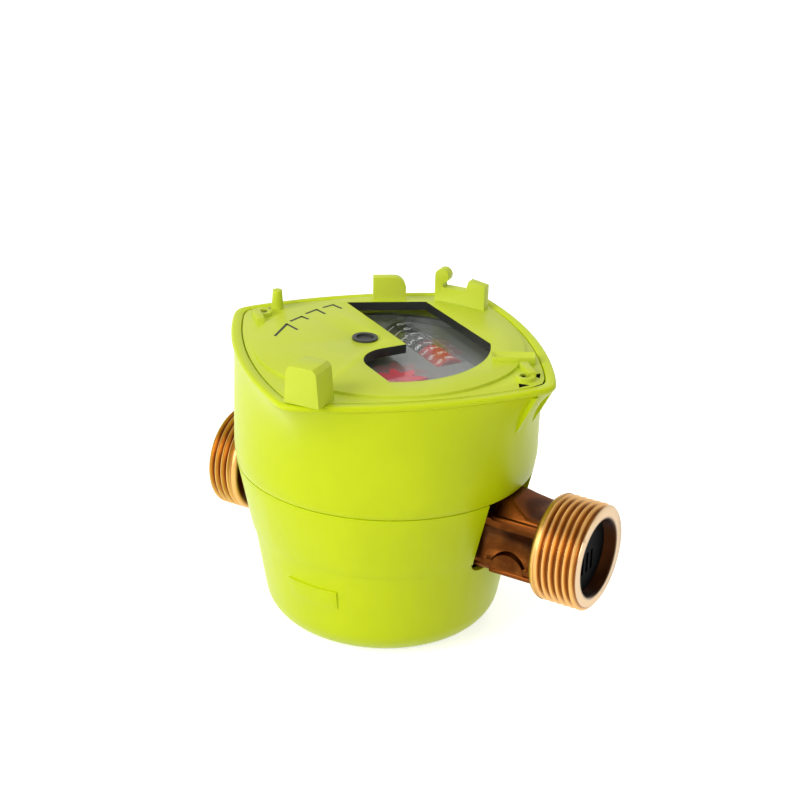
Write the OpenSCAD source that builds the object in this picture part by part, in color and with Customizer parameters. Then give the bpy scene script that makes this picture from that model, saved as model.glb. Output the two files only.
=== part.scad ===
// Domestic rotary-piston water meter: a brass body with a threaded end each side, a two-part moulded
// shroud, a measuring chamber with an orbiting piston, and a sealed register under a shaped window.
// Millimetres. The origin is the middle of the base, +Z is up and +X points out of the inlet.

/* [Pipe ends] */
// Major diameter of the two pipe threads
thread_d = 26.44; // [24:0.02:30]
// Length of each pipe thread
thread_len = 11; // [9:0.5:12]
// Length of the outlet's thread, which ends clear of the shroud
outlet_thread_len = 7.6; // [6.6:0.1:7.8]
// Chamfer at the start of each thread
thread_chamfer = 0.6; // [0.3:0.1:1]
// Diameter of the counterbored mouths
mouth_d = 18.8; // [16:0.2:20]
// Depth of the counterbored mouths
mouth_depth = 4.5; // [4:0.1:6]
// Diameter of the waterway through each neck
waterway_d = 11; // [8:0.5:12]
// Distance from the register axis to the inlet end face
inlet_reach = 60; // [57:0.5:75]
// Distance from the register axis to the outlet end face
outlet_reach = 46; // [45:0.5:75]
// Height of the pipe axis above the base
pipe_height = 30.5; // [28:0.25:33]
// Width and height of the square neck bars
neck_w = 16; // [15:0.25:19]
// Rounding of the neck bars' long edges
neck_round = 2.6; // [1:0.2:4]
// Depth of the scoop in each side of a neck
scoop_depth = 1.1; // [0.5:0.1:1.6]
// Thickness of the strainer's flange
strainer_t = 1.5; // [1:0.1:2.5]
// Width of the strainer's slots
strainer_slot_w = 1.2; // [0.8:0.1:1.6]

/* [Measuring chamber] */
// Outer diameter of the piston
piston_d = 34.4; // [30:0.2:36]
// Wall of the piston
piston_wall = 2.15; // [1.6:0.05:3]
// Thickness of the piston's web
web_t = 1.6; // [1.2:0.1:2.4]
// Radius of the piston's orbit
eccentricity = 3.5; // [3:0.1:4]
// Inner height of the chamber
chamber_h = 15; // [13:0.2:15.4]
// Thickness of the division plate
division_t = 1.5; // [1:0.1:2]
// Direction of the division plate, from the inlet
division_angle = 150; // [130:1:155]
// Diameter of the piston's spigots
spigot_d = 4; // [3:0.1:4.6]
// Wall of the rings that guide the piston
guide_wall = 1.5; // [1:0.1:2.2]
// Side wall of the chamber cup
cup_wall = 2.4; // [2:0.1:3.5]
// Floor of the chamber cup
cup_floor = 2; // [1.5:0.1:3]
// Thickness of the chamber cover
cover_t = 2; // [1.8:0.1:3]
// Diameter of the chamber's outlet port
port_d = 9; // [6:0.5:10]
// Thickness of the outlet seal
outlet_seal_t = 1.4; // [1:0.1:2]
// Thickness of the drive dog's disc
dog_t = 2; // [1.5:0.1:3]
// Diameter of the drive spindle
spindle_d = 3; // [2:0.1:4]

/* [Body pot] */
// Side wall of the pot
pot_wall = 3; // [2.4:0.1:4]
// Floor of the pot
pot_floor = 4; // [3:0.1:5]
// Water passage between the pot and the chamber cup
flow_gap = 1.1; // [0.8:0.1:2]
// Ledge that carries the pressure plate's seal
seal_ledge = 2.5; // [2:0.1:3]
// Thickness of the pressure plate's seal
seal_t = 0.8; // [0.6:0.1:1.2]
// Wall of the pot's head
head_wall = 3; // [2.4:0.1:3.6]
// Thickness of the pressure plate
pressure_t = 2.6; // [2:0.1:3.2]
// Height of the locking ring
lock_h = 2.6; // [2:0.1:3.2]
// Height of both coupling magnets
magnet_h = 2.6; // [2:0.1:3]
// Diameter of both coupling magnets
magnet_d = 16; // [10:0.5:18]

/* [Shroud] */
// Wall of the moulded shroud
shroud_wall = 2.2; // [1.8:0.1:3]
// Rounding of the foot's edge
foot_round = 8.5; // [5:0.5:10]
// Height of the seam between the lower and upper shroud
seam_height = 42; // [38:0.5:45]
// How far the lower shroud widens from foot to seam
seam_flare = 7.3; // [6.4:0.1:8]
// Height of the shallow step round the lower shroud
step_height = 25; // [20:0.5:30]
// Depth of that step
step_depth = 0.45; // [0.2:0.05:0.6]
// Width of the opening round the outlet's thread
outlet_slot_w = 27.2; // [27:0.2:30]
// Width of the opening for the inlet neck
inlet_slot_w = 21.6; // [20.6:0.2:26]
// Height of the rim round the top
rim_h = 1.6; // [1.4:0.1:2.4]
// How far the rim stands out from the shroud
rim_proud = 0.4; // [0.2:0.1:0.5]
// How far the rim stands above the top plate
rim_stand = 0.1; // [0.1:0.05:0.4]
// Radius of the bowed sides of the top outline
side_bow = 110; // [95:1:160]
// Height of the round seat for the lid above the top plate
seat_rise = 0.7; // [0.4:0.1:1]
// Height of the gussets below the side corners
gusset_h = 11; // [8:0.5:12]

/* [Register] */
// Outer diameter of the sealed register can
can_d = 64; // [62:0.5:66]
// Height of the can
can_h = 18.3; // [18:0.1:22]
// Wall of the can
can_wall = 1; // [0.8:0.1:1.6]
// Turn of the register about its axis
register_turn = -30.7; // [-45:0.1:0]
// Thickness of the window pane
pane_t = 2; // [1.4:0.1:3]
// Thickness of the top plate
plate_t = 1.6; // [1.2:0.1:2.4]
// Diameter of the number drums
drum_d = 9.2; // [8:0.1:9.6]
// Distance from one number drum to the next
drum_pitch = 3.6; // [3:0.1:3.7]
// Thickness of the gear plate and the dial plate
works_plate_t = 1.2; // [1:0.1:1.6]
// Distance from the pane down to the dial plate
dial_gap = 1.5; // [1.2:0.1:2]
// Tooth module of the two gears
gear_module = 0.5; // [0.48:0.01:0.52]
// Points of the flow star
star_points = 8; // [6:1:12]
// Radius of the flow star
star_r = 5.6; // [4:0.2:6]

/* [Window] */
// Radius of the window's round side
window_r = 25; // [23:0.5:26]
// Radius of the window's lobe over the flow star
lobe_r = 8.6; // [8:0.2:9.4]
// Diameter of the service port
service_port_d = 6.4; // [4:0.2:7]

/* [Clearances] */
// Radial clearance of a shaft in its hole
run_gap = 0.05; // [0.02:0.01:0.1]
// Gap between loose neighbours
loose_gap = 0.3; // [0.25:0.05:0.4]

/* [Hidden] */
$fn = 64;
lime = [0.78, 0.86, 0.12];
bronze = [0.72, 0.45, 0.2];
eps = 0.01;
far = 200;

// Radii from the piston outwards
piston_r = piston_d / 2;
guide_r = piston_r - piston_wall - eccentricity - loose_gap;
chamber_r = piston_r + eccentricity + loose_gap;
cup_r = chamber_r + cup_wall;
pot_bore_r = cup_r + flow_gap;
pot_r = pot_bore_r + pot_wall;
mouth_ledge_r = pot_bore_r + seal_ledge;
head_r = mouth_ledge_r + head_wall;
base_r = pot_r + loose_gap + shroud_wall;
seam_r = base_r + seam_flare;
spigot_r = spigot_d / 2;
port_r = port_d / 2;
port_boss_r = port_r + 1.3;
port_boss_x = sqrt(pow(pot_bore_r - loose_gap, 2) - pow(port_boss_r, 2));
port_seat_x = port_boss_x + outlet_seal_t;

// Heights from the base upwards
sump_z = shroud_wall + pot_floor;
chamber_z = pipe_height - chamber_h / 2;
cup_z = chamber_z - cup_floor;
cover_z = chamber_z + chamber_h;
drive_magnet_z = cover_z + cover_t + loose_gap;
ledge_z = drive_magnet_z + magnet_h + 0.6;
pressure_z = ledge_z + seal_t;
lock_z = pressure_z + pressure_t;
can_z = lock_z + lock_h;
can_floor = 1;
pane_z = can_z + can_h;
plate_z = pane_z + pane_t;
plate_top = plate_z + plate_t;
rim_top = plate_top + rim_stand;
rim_z = rim_top - rim_h;
seat_top = plate_top + seat_rise;

// Register works
can_r = can_d / 2;
works_r = can_r - can_wall - loose_gap;
follower_z = can_z + can_floor + 0.4;
gear_plate_z = follower_z + magnet_h + 0.6;
gear_z = gear_plate_z + works_plate_t + 0.4;
gear_t = 2.2;
dial_top = pane_z - dial_gap;
dial_z = dial_top - works_plate_t;
drum_r = drum_d / 2;
drum_z = pane_z - 0.4 - drum_r;
drum_count = 8;
drum_w = drum_pitch - 0.2;
drum_row = [-8.6, 14.6];
drum_axle_r = 0.8;
frame_t = 1.2;
frame_u = drum_pitch * drum_count / 2 + 0.4;
pinion_teeth = 12;
star_teeth = 34;
star_distance = gear_module * (pinion_teeth + star_teeth) / 2;
star_bearing = -15;
star_place = star_distance * [cos(star_bearing), sin(star_bearing)];
arbor_r = 1;
post_r = 1.5;
post_ring_r = works_r - post_r - 1.5;
post_angles = [163, 283, 43];
screw_head_r = 1.9;

// Top outline and window
ledge_w = 2.4;
corner_blend = 40;
top_half = can_r + 2 * loose_gap + ledge_w + shroud_wall;
plate_half = top_half - shroud_wall - loose_gap;
corner_r = square_reach(plate_half, 45);
seat_r = plate_half - 1.4;
window_chord = 22.6;
window_sill = 3.5;
window_side = [[-30, 3.5], [-22.6, 21.5]];
side_run = window_side[1] - window_side[0];
side_turn = atan2(side_run[1], side_run[0]);
port_place = [-5, -4];
outline_sides = 96;
eyelet_r = 1.3;
eyelet_x = corner_r - 4.6;

// Points of an arc round a centre
function arc(centre, r, from, to, steps = 8) =
    [for (i = [0:steps]) let (t = from + (to - from) * i / steps) centre + r * [cos(t), sin(t)]];

// Reach of one bowed side at an angle from its middle
function side_reach(half, turn) =
    let (c = half - side_bow) c * cos(turn) + sqrt(side_bow * side_bow - pow(c * sin(turn), 2));

// Reach of the bowed square at an angle from the middle of a side, with its corner rounded
function square_reach(half, turn) =
    pow(pow(side_reach(half, turn), -corner_blend) + pow(side_reach(half, 90 - turn), -corner_blend),
        -1 / corner_blend);

// Outline a share of the way from a circle to a bowed square whose corners lie on the axes
function outline(round_r, half, share) =
    [for (i = [0:outline_sides - 1])
        let (t = 360 * i / outline_sides, reach = square_reach(half, abs(t % 90 - 45)))
        (round_r + (reach - round_r) * share) * [cos(t), sin(t)]];

// Ring of the upper shroud's wall, which turns square late
function wall_ring(z, round_r, half) =
    [z, round_r, half, pow((z - seam_height) / (rim_z - seam_height), 4)];

// A gear's outline with involute flanks
function flank_angle(r, base) =
    let (roll = sqrt(max(0, pow(r / base, 2) - 1))) roll * 180 / PI - atan(roll);
function gear_outline(teeth, addendum, slack) =
    let (pitch = gear_module * teeth / 2,
        base = pitch * cos(20),
        root = pitch - 1.15 * gear_module,
        tip = pitch + addendum * gear_module,
        half = 90 / teeth - slack / pitch * 180 / PI,
        start = max(base, root),
        steps = 4,
        radii = [for (i = [0:steps]) start + (tip - start) * i / steps],
        angles = [for (r = radii) half + flank_angle(pitch, base) - flank_angle(r, base)])
    [for (k = [0:teeth - 1])
        let (mid = 360 * k / teeth)
        each concat(
            [root * [cos(mid - angles[0]), sin(mid - angles[0])]],
            [for (i = [0:steps]) radii[i] * [cos(mid - angles[i]), sin(mid - angles[i])]],
            [for (i = [steps:-1:0]) radii[i] * [cos(mid + angles[i]), sin(mid + angles[i])]],
            [root * [cos(mid + angles[0]), sin(mid + angles[0])]])];

// A tube whose wall is skinned through closed rings, each [z, half width, power]
module skinned_wall(rings) {
    count = len(rings);
    points = [for (ring = rings) each [for (p = outline(ring[1], ring[2], ring[3])) [p[0], p[1], ring[0]]]];
    faces = [for (j = [0:count - 1], i = [0:outline_sides - 1])
        let (a = j * outline_sides,
            b = (j + 1) % count * outline_sides,
            next = (i + 1) % outline_sides)
        each [[a + i, b + i, b + next], [a + i, b + next, a + next]]];
    polyhedron(points, faces);
}

// Places its children along +X from the pipe axis
module along_pipe() {
    translate([0, 0, pipe_height]) rotate([0, 90, 0]) children();
}

// Places its children in the register's turned frame
module register_frame() {
    rotate(register_turn) children();
}

module tube(r_out, r_in, h) {
    difference() {
        cylinder(r = r_out, h = h);
        translate([0, 0, -eps]) cylinder(r = r_in, h = h + 2 * eps);
    }
}

// Square bar with rounded long edges, along +Z
module rounded_bar(w, round_r, h) {
    inner = w - 2 * round_r;
    translate([-w / 2, -inner / 2, 0]) cube([w, inner, h]);
    translate([-inner / 2, -w / 2, 0]) cube([inner, w, h]);
    for (x = [-1, 1], y = [-1, 1])
        translate([x * inner / 2, y * inner / 2, 0]) cylinder(r = round_r, h = h);
}

// One neck with its shoulder and thread cylinder, along +Z from the register axis
module neck_end(reach, length) {
    thread_start = reach - length;
    shoulder = 1.6;
    flare_r = neck_w / 2 + 2;
    translate([0, 0, thread_start]) cylinder(d = thread_d, h = length - thread_chamfer);
    translate([0, 0, reach - thread_chamfer])
        cylinder(d1 = thread_d, d2 = thread_d - 2 * thread_chamfer, h = thread_chamfer);
    translate([0, 0, thread_start - shoulder])
        rotate_extrude()
            polygon(concat([[0, 0]], arc([thread_d / 2 - shoulder, shoulder], shoulder, -90, 0), [[0, shoulder]]));
    difference() {
        translate([0, 0, pot_bore_r]) rounded_bar(neck_w, neck_round, thread_start - pot_bore_r);
        neck_scoops(pot_r + 5, thread_start - shoulder - 0.6);
    }
    translate([0, 0, pot_bore_r])
        cylinder(r1 = flare_r, r2 = neck_w / 2 - 0.5, h = pot_wall + 5);
}

// Shallow scoops in the two sides of a neck
module neck_scoops(from, to) {
    span = max(to - from, 3);
    scoop_r = (span * span / 4 + scoop_depth * scoop_depth) / (2 * scoop_depth);
    flat_w = neck_w - 2 * neck_round - 1.6;
    for (side = [-1, 1])
        translate([flat_w / 2, side * (neck_w / 2 + scoop_r - scoop_depth), from + span / 2])
            rotate([0, -90, 0]) cylinder(r = scoop_r, h = flat_w, $fn = 128);
}

// Turned outside of the pot
module pot_outside() {
    round_r = foot_round - 1;
    head_z = ledge_z - 4;
    rotate_extrude()
        polygon(concat(
            [[0, shroud_wall]],
            arc([pot_r - round_r, shroud_wall + round_r], round_r, -90, 0),
            [[pot_r, head_z - (head_r - pot_r)], [head_r, head_z], [head_r, can_z], [0, can_z]]));
}

module meter_body() {
    color(bronze)
    difference() {
        union() {
            pot_outside();
            along_pipe() neck_end(inlet_reach, thread_len);
            mirror([1, 0, 0]) along_pipe() neck_end(outlet_reach, outlet_thread_len);
        }
        translate([0, 0, sump_z]) cylinder(r = pot_bore_r, h = far);
        translate([0, 0, ledge_z]) cylinder(r = mouth_ledge_r, h = far);
        along_pipe() cylinder(d = waterway_d, h = far);
        mirror([1, 0, 0]) along_pipe() cylinder(r = port_r, h = far);
        along_pipe() translate([0, 0, inlet_reach - mouth_depth]) cylinder(d = mouth_d, h = far);
        mirror([1, 0, 0]) along_pipe() {
            translate([0, 0, outlet_reach - mouth_depth]) cylinder(d = mouth_d, h = far);
            cylinder(r = port_boss_r + loose_gap, h = port_seat_x);
        }
    }
}

// Flanged thimble with slots, seated on the floor of the inlet's mouth
module inlet_strainer() {
    seat_x = inlet_reach - mouth_depth;
    thimble_len = 14;
    thimble_r = waterway_d / 2 - loose_gap;
    slot_step = 2 * strainer_slot_w;
    color([0.06, 0.06, 0.07])
    along_pipe() {
        difference() {
            translate([0, 0, seat_x]) cylinder(d = mouth_d - 2 * loose_gap, h = strainer_t);
            for (i = [-1:1])
                translate([-strainer_slot_w / 2, i * slot_step - strainer_slot_w / 2, seat_x - far / 2])
                    cube([thimble_r, strainer_slot_w, far]);
        }
        translate([0, 0, seat_x - thimble_len]) tube(thimble_r, thimble_r - 1, thimble_len);
    }
}

// Cup that the piston runs in, on a slotted skirt
module chamber_cup() {
    skirt_wall = 2.4;
    window_h = cup_z - sump_z - 4;
    color([0.85, 0.85, 0.82])
    difference() {
        union() {
            translate([0, 0, cup_z]) cylinder(r = cup_r, h = cover_z - cup_z);
            translate([0, 0, sump_z]) tube(cup_r, cup_r - skirt_wall, cup_z - sump_z);
            mirror([1, 0, 0]) along_pipe() cylinder(r = port_boss_r, h = port_boss_x);
        }
        difference() {
            translate([0, 0, chamber_z]) cylinder(r = chamber_r, h = far);
            guide_ring(chamber_z, pipe_height - web_t / 2 - loose_gap);
            cylinder(r = eccentricity - spigot_r - loose_gap, h = pipe_height - web_t / 2 - loose_gap);
        }
        for (turn = [45:90:315])
            rotate(turn) translate([0, -6, sump_z + 2]) cube([far, 12, window_h]);
        division_blank(run_gap, far);
        rotate(division_angle - 30) translate([piston_r - 2, 0, 0]) cylinder(r = 3, h = chamber_z + eps);
        mirror([1, 0, 0]) along_pipe() cylinder(r = port_r, h = far);
    }
}

// Ring that guides the piston's inner wall
module guide_ring(from, to) {
    translate([0, 0, from]) tube(guide_r, guide_r - guide_wall, to - from);
}

// Division plate, with a clearance to each side when it is used as a cut
module division_blank(slack, h) {
    start = guide_r + run_gap - slack;
    rotate(division_angle)
        translate([start, -division_t / 2 - slack, chamber_z])
            cube([chamber_r + cup_wall / 3 + slack - start, division_t + 2 * slack, h]);
}

module division_plate() {
    color([0.7, 0.71, 0.73]) division_blank(0, chamber_h);
}

module chamber_seal() {
    color([0.1, 0.1, 0.1])
    mirror([1, 0, 0]) along_pipe()
        translate([0, 0, port_boss_x]) tube(port_boss_r, port_r, outlet_seal_t);
}

// Slotted piston with a web and two spigots, at its own axis
module rotary_piston() {
    end_gap = 0.1;
    z0 = chamber_z + end_gap;
    h = chamber_h - 2 * end_gap;
    slot_w = division_t + 2 * eccentricity + 0.8;
    slot_start = guide_r - eccentricity - 0.5;
    spigot_top = cover_z - loose_gap;
    color([0.16, 0.16, 0.18])
    translate([eccentricity, 0, 0]) {
        difference() {
            union() {
                translate([0, 0, z0]) tube(piston_r, piston_r - piston_wall, h);
                translate([0, 0, pipe_height - web_t / 2]) cylinder(r = piston_r - piston_wall / 2, h = web_t);
            }
            rotate(division_angle) translate([slot_start, -slot_w / 2, 0]) cube([far, slot_w, far]);
        }
        translate([0, 0, chamber_z + loose_gap]) cylinder(r = spigot_r, h = spigot_top - chamber_z - loose_gap);
    }
}

module chamber_cover() {
    color([0.85, 0.85, 0.82]) {
        difference() {
            translate([0, 0, cover_z]) cylinder(r = cup_r, h = cover_t);
            cylinder(d = spindle_d + 2 * run_gap, h = far);
        }
        guide_ring(pipe_height + web_t / 2 + loose_gap, cover_z + eps);
    }
}

// Disc driven by the piston's upper spigot, with the spindle that carries the magnet
module drive_dog() {
    dog_r = guide_r - guide_wall - 2 * loose_gap;
    dog_top = cover_z - loose_gap;
    color([0.75, 0.76, 0.78]) {
        difference() {
            translate([0, 0, dog_top - dog_t]) cylinder(r = dog_r, h = dog_t);
            translate([eccentricity, 0, 0]) cylinder(r = spigot_r + run_gap, h = far);
        }
        translate([0, 0, dog_top]) cylinder(d = spindle_d, h = drive_magnet_z + magnet_h - dog_top);
    }
}

module drive_magnet() {
    color([0.25, 0.25, 0.27])
    translate([0, 0, drive_magnet_z]) tube(magnet_d / 2, spindle_d / 2 + run_gap, magnet_h);
}

module plate_seal() {
    color([0.08, 0.08, 0.08])
    translate([0, 0, ledge_z]) tube(mouth_ledge_r - loose_gap, pot_bore_r + loose_gap, seal_t);
}

module pressure_plate() {
    color([0.8, 0.8, 0.78])
    translate([0, 0, pressure_z]) cylinder(r = mouth_ledge_r - loose_gap, h = pressure_t);
}

// Ring nut with four spanner slots
module locking_ring() {
    ring_w = 6;
    color(bronze)
    difference() {
        translate([0, 0, lock_z]) tube(mouth_ledge_r - loose_gap, mouth_ledge_r - ring_w, lock_h);
        for (turn = [0:90:270])
            rotate(turn) translate([mouth_ledge_r - ring_w - 1, -2, can_z - 1.5]) cube([4, 4, 4]);
    }
}

// Half section of the lower shroud
function shroud_wall_r(z) = base_r + (seam_r - base_r) * (z - foot_round) / (seam_height - foot_round);
function lip_r() = seam_r - shroud_wall - loose_gap;

module lower_shroud() {
    lip_t = 1.2;
    lip_h = 3;
    lean = atan((seam_r - base_r) / (seam_height - foot_round));
    foot_c = [base_r - foot_round, foot_round];
    color(lime)
    difference() {
        rotate_extrude($fn = 128)
            polygon(concat(
                [[0, 0]],
                arc(foot_c, foot_round, -90, -lean, 10),
                [[shroud_wall_r(step_height) - step_depth, step_height],
                    [shroud_wall_r(step_height), step_height],
                    [seam_r, seam_height],
                    [lip_r(), seam_height],
                    [lip_r(), seam_height + lip_h],
                    [lip_r() - lip_t, seam_height + lip_h],
                    [lip_r() - lip_t, seam_height - 4],
                    [shroud_wall_r(seam_height - 7) - shroud_wall, seam_height - 7]],
                arc(foot_c, foot_round - shroud_wall, -lean, -90, 10),
                [[0, shroud_wall]]));
        neck_slots();
    }
    color(lime) clip_patch();
}

// Openings that let the lower shroud slide up round the necks
module neck_slots() {
    neck_slot(inlet_slot_w, inlet_reach);
    rotate(180) neck_slot(outlet_slot_w, outlet_reach);
    outlet_clearance();
}

// Slot with rounded lower corners, open at the top, along +X
module neck_slot(w, reach) {
    sill = pipe_height - neck_w / 2 - 0.5;
    round_r = 4;
    half = w / 2;
    translate([0, -half, sill + round_r]) cube([reach, w, far]);
    translate([0, -half + round_r, sill]) cube([reach, w - 2 * round_r, far]);
    for (side = [-1, 1])
        translate([0, side * (half - round_r), sill + round_r])
            rotate([0, 90, 0]) cylinder(r = round_r, h = reach);
}

// Round opening for the outlet's thread, which starts inside the shroud's wall
module outlet_clearance() {
    translate([1 - pot_r, 0, pipe_height])
        rotate([0, -90, 0]) cylinder(d = thread_d + 2 * loose_gap, h = far, $fn = 96);
}

// Shallow raised patch on the front of the lower shroud
module clip_patch() {
    patch_z = step_height - 11;
    patch_h = 5;
    patch_arc = 25;
    proud = 0.7;
    rotate(-104)
        rotate_extrude(angle = patch_arc, $fn = 128)
            polygon([
                [shroud_wall_r(patch_z) - 1, patch_z],
                [shroud_wall_r(patch_z) + proud - step_depth, patch_z],
                [shroud_wall_r(patch_z + patch_h) + proud - step_depth, patch_z + patch_h],
                [shroud_wall_r(patch_z + patch_h) - 1, patch_z + patch_h]]);
}

// Shell that turns from a circle at the seam to a rounded square at the rim
module upper_shroud() {
    edge = 0.8;
    steps = 8;
    ledge_h = 2;
    wall_r = seam_r + 0.6;
    inner = top_half - shroud_wall;
    inner_top = plate_z - ledge_h - 1.8;
    outer_rings = [for (i = [0:steps])
        let (z = seam_height + (rim_z - seam_height) * (1 - pow(1 - i / steps, 1.6)))
        wall_ring(z, i == 0 ? seam_r : wall_r, top_half)];
    rim_rings = [
        [rim_z + rim_proud, 0, top_half + rim_proud, 1],
        [rim_top - edge, 0, top_half + rim_proud, 1],
        [rim_top - edge * 0.3, 0, top_half + rim_proud - edge * 0.3, 1],
        [rim_top, 0, top_half + rim_proud - edge, 1],
        [rim_top, 0, inner, 1],
        [plate_z, 0, inner, 1],
        [plate_z, 0, inner - ledge_w, 1],
        [plate_z - ledge_h, 0, inner - ledge_w, 1]];
    inner_rings = [for (i = [steps:-1:0])
        let (z = seam_height + (inner_top - seam_height) * i / steps)
        wall_ring(z, (i == 0 ? seam_r : wall_r) - shroud_wall, inner)];
    color(lime) {
        difference() {
            skinned_wall(concat(outer_rings, rim_rings, inner_rings));
            outlet_clearance();
        }
        for (side = [0, 180])
            rotate(side) corner_gussets(plate_z - rim_proud - loose_gap);
    }
}

// Two ribs that carry a corner of the rim
module corner_gussets(z) {
    rib_t = 1.4;
    reach = corner_r + 0.5;
    root = seam_r - shroud_wall / 2;
    for (side = [-1, 1])
        rotate(side * 6)
            translate([0, rib_t / 2, 0])
                rotate([90, 0, 0])
                    linear_extrude(rib_t)
                        polygon([[root, z + rim_proud], [reach, z + rim_proud], [reach, z], [root, z - gusset_h]]);
}

// Sealed can with a bush for the input arbor and three pillars for the works
module register_can() {
    bush_r = 2.6;
    color([0.78, 0.79, 0.8])
    difference() {
        union() {
            translate([0, 0, can_z]) cylinder(r = can_r, h = can_floor);
            translate([0, 0, can_z]) tube(can_r, can_r - can_wall, can_h);
            translate([0, 0, can_z]) cylinder(r = bush_r, h = follower_z - can_z - 0.2);
            at_posts() translate([0, 0, can_z]) cylinder(r = post_r, h = gear_plate_z - can_z);
        }
        translate([0, 0, can_z + 0.6]) cylinder(r = arbor_r + run_gap, h = can_h);
    }
}

// Repeats its children at the register's three posts
module at_posts() {
    register_frame()
        for (turn = post_angles)
            rotate(turn) translate([post_ring_r, 0, 0]) children();
}

module follower_magnet() {
    color([0.25, 0.25, 0.27])
    translate([0, 0, follower_z]) tube(magnet_d / 2, arbor_r + run_gap, magnet_h);
}

// Arbor turned by the follower magnet, with the pinion that drives the star gear
module input_arbor() {
    color([0.8, 0.72, 0.45]) {
        translate([0, 0, can_z + 0.7]) cylinder(r = arbor_r, h = gear_z + gear_t - can_z - 0.7);
        translate([0, 0, gear_z])
            register_frame() rotate(star_bearing)
                linear_extrude(gear_t) polygon(gear_outline(pinion_teeth, 0.85, 0.06));
    }
}

module gear_plate() {
    color([0.8, 0.72, 0.45])
    difference() {
        union() {
            translate([0, 0, gear_plate_z]) cylinder(r = works_r, h = works_plate_t);
            at_posts() translate([0, 0, gear_plate_z]) cylinder(r = post_r, h = dial_z - gear_plate_z);
        }
        cylinder(r = arbor_r + run_gap, h = far);
        register_frame() translate(star_place) cylinder(r = arbor_r + run_gap, h = far);
    }
}

// Arbor with the star gear; it carries the flow star above the dial
module star_arbor() {
    foot = gear_plate_z + 0.1;
    half_tooth = 180 / star_teeth;
    color([0.8, 0.72, 0.45])
    register_frame() translate(star_place) {
        translate([0, 0, foot]) cylinder(r = arbor_r, h = dial_top + 0.9 - foot);
        translate([0, 0, gear_z])
            rotate(star_bearing + 180 + half_tooth)
                linear_extrude(gear_t) polygon(gear_outline(star_teeth, 0.6, 0.06));
    }
}

// Places its children on the drums' axle, which runs along +Z there
module drum_line() {
    register_frame()
        translate([drum_row[0], drum_row[1], drum_z]) rotate([0, 90, 0]) children();
}

// Two cheeks and a foot that hold the drums' axle
module drum_frame() {
    foot_z = gear_plate_z + works_plate_t;
    cheek_w = 4;
    cheek_h = drum_z + 1.9 - foot_z;
    color([0.8, 0.72, 0.45])
    difference() {
        register_frame() translate([drum_row[0], drum_row[1], foot_z])
            for (side = [-1, 1])
                translate([side * (frame_u + frame_t / 2) - frame_t / 2, -cheek_w / 2, 0])
                    cube([frame_t, cheek_w, cheek_h]);
        drum_line() translate([0, 0, -far / 2]) cylinder(r = drum_axle_r + run_gap / 2, h = far);
    }
}

module drum_axle() {
    half = frame_u + frame_t + 0.4;
    color([0.7, 0.71, 0.73])
    drum_line() translate([0, 0, -half]) cylinder(r = drum_axle_r, h = 2 * half);
}

// One number drum, with a hollow in its side
module drum(index) {
    reds = 3;
    hollow = drum_w - 1.4;
    middle = (index - (drum_count + 1) / 2) * drum_pitch;
    color(index > drum_count - reds ? [0.75, 0.12, 0.14] : [0.1, 0.1, 0.1])
    drum_line() translate([0, 0, middle - drum_w / 2])
        difference() {
            cylinder(r = drum_r, h = drum_w);
            translate([0, 0, -eps]) cylinder(r = drum_axle_r + run_gap, h = drum_w + 2 * eps);
            translate([0, 0, drum_w - hollow]) tube(drum_r - 0.8, drum_axle_r + 1, hollow + eps);
        }
}

// Dial with the slot for the drums
module dial_plate() {
    slot_u = drum_pitch * drum_count / 2 + 0.3;
    slot_v = sqrt(pow(drum_r, 2) - pow(dial_z - drum_z, 2)) + 0.3;
    color([0.35, 0.36, 0.38])
    difference() {
        translate([0, 0, dial_z]) cylinder(r = works_r, h = works_plate_t);
        register_frame() {
            translate([drum_row[0] - slot_u, drum_row[1] - slot_v, 0]) cube([2 * slot_u, 2 * slot_v, far]);
            translate(star_place) cylinder(r = arbor_r + run_gap, h = far);
        }
    }
}

module register_screws() {
    head_t = 0.9;
    slot_w = 0.6;
    color([0.7, 0.71, 0.73])
    at_posts()
        difference() {
            translate([0, 0, dial_top]) cylinder(r = screw_head_r, h = head_t);
            translate([-far / 2, -slot_w / 2, dial_top + head_t / 2]) cube([far, slot_w, far]);
        }
}

// Pointed wheel that shows the flow
module flow_star() {
    inner_r = star_r * 0.55;
    hub_gap = run_gap / 2;
    outline = [for (i = [0:2 * star_points - 1])
        let (r = i % 2 == 0 ? star_r : inner_r, t = 180 * i / star_points) r * [cos(t), sin(t)]];
    color([0.8, 0.1, 0.14])
    register_frame() translate([star_place[0], star_place[1], dial_top + 0.2])
        difference() {
            linear_extrude(0.7) polygon(outline);
            translate([0, 0, -eps]) cylinder(r = arbor_r + hub_gap, h = 1);
        }
}

module window_pane() {
    color([0.85, 0.9, 0.88, 0.4])
    difference() {
        translate([0, 0, pane_z]) cylinder(r = can_r, h = pane_t);
        register_frame() translate(port_place) cylinder(d = service_port_d, h = far);
    }
}

// Window through the top plate: a round with one straight side, cut away to the left of the flow star
module window_cut() {
    lobe = star_place;
    register_frame()
        intersection() {
            translate(window_side[0]) rotate(side_turn) translate([-far / 2, -far, 0]) cube([far, far, far]);
            union() {
                cylinder(r = window_r, h = far, $fn = 128);
                translate([-far, window_sill, 0]) cube([far, far, far]);
            }
            union() {
                translate([-far / 2, window_sill, 0]) cube([far, window_chord - window_sill, far]);
                translate([lobe[0], lobe[1] - lobe_r, 0]) cube([far, window_sill - lobe[1] + lobe_r + eps, far]);
                translate(lobe) cylinder(r = lobe_r, h = far);
                translate([lobe[0] - lobe_r, lobe[1], 0]) cube([lobe_r, window_sill - lobe[1] + eps, far]);
            }
        }
}

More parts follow.
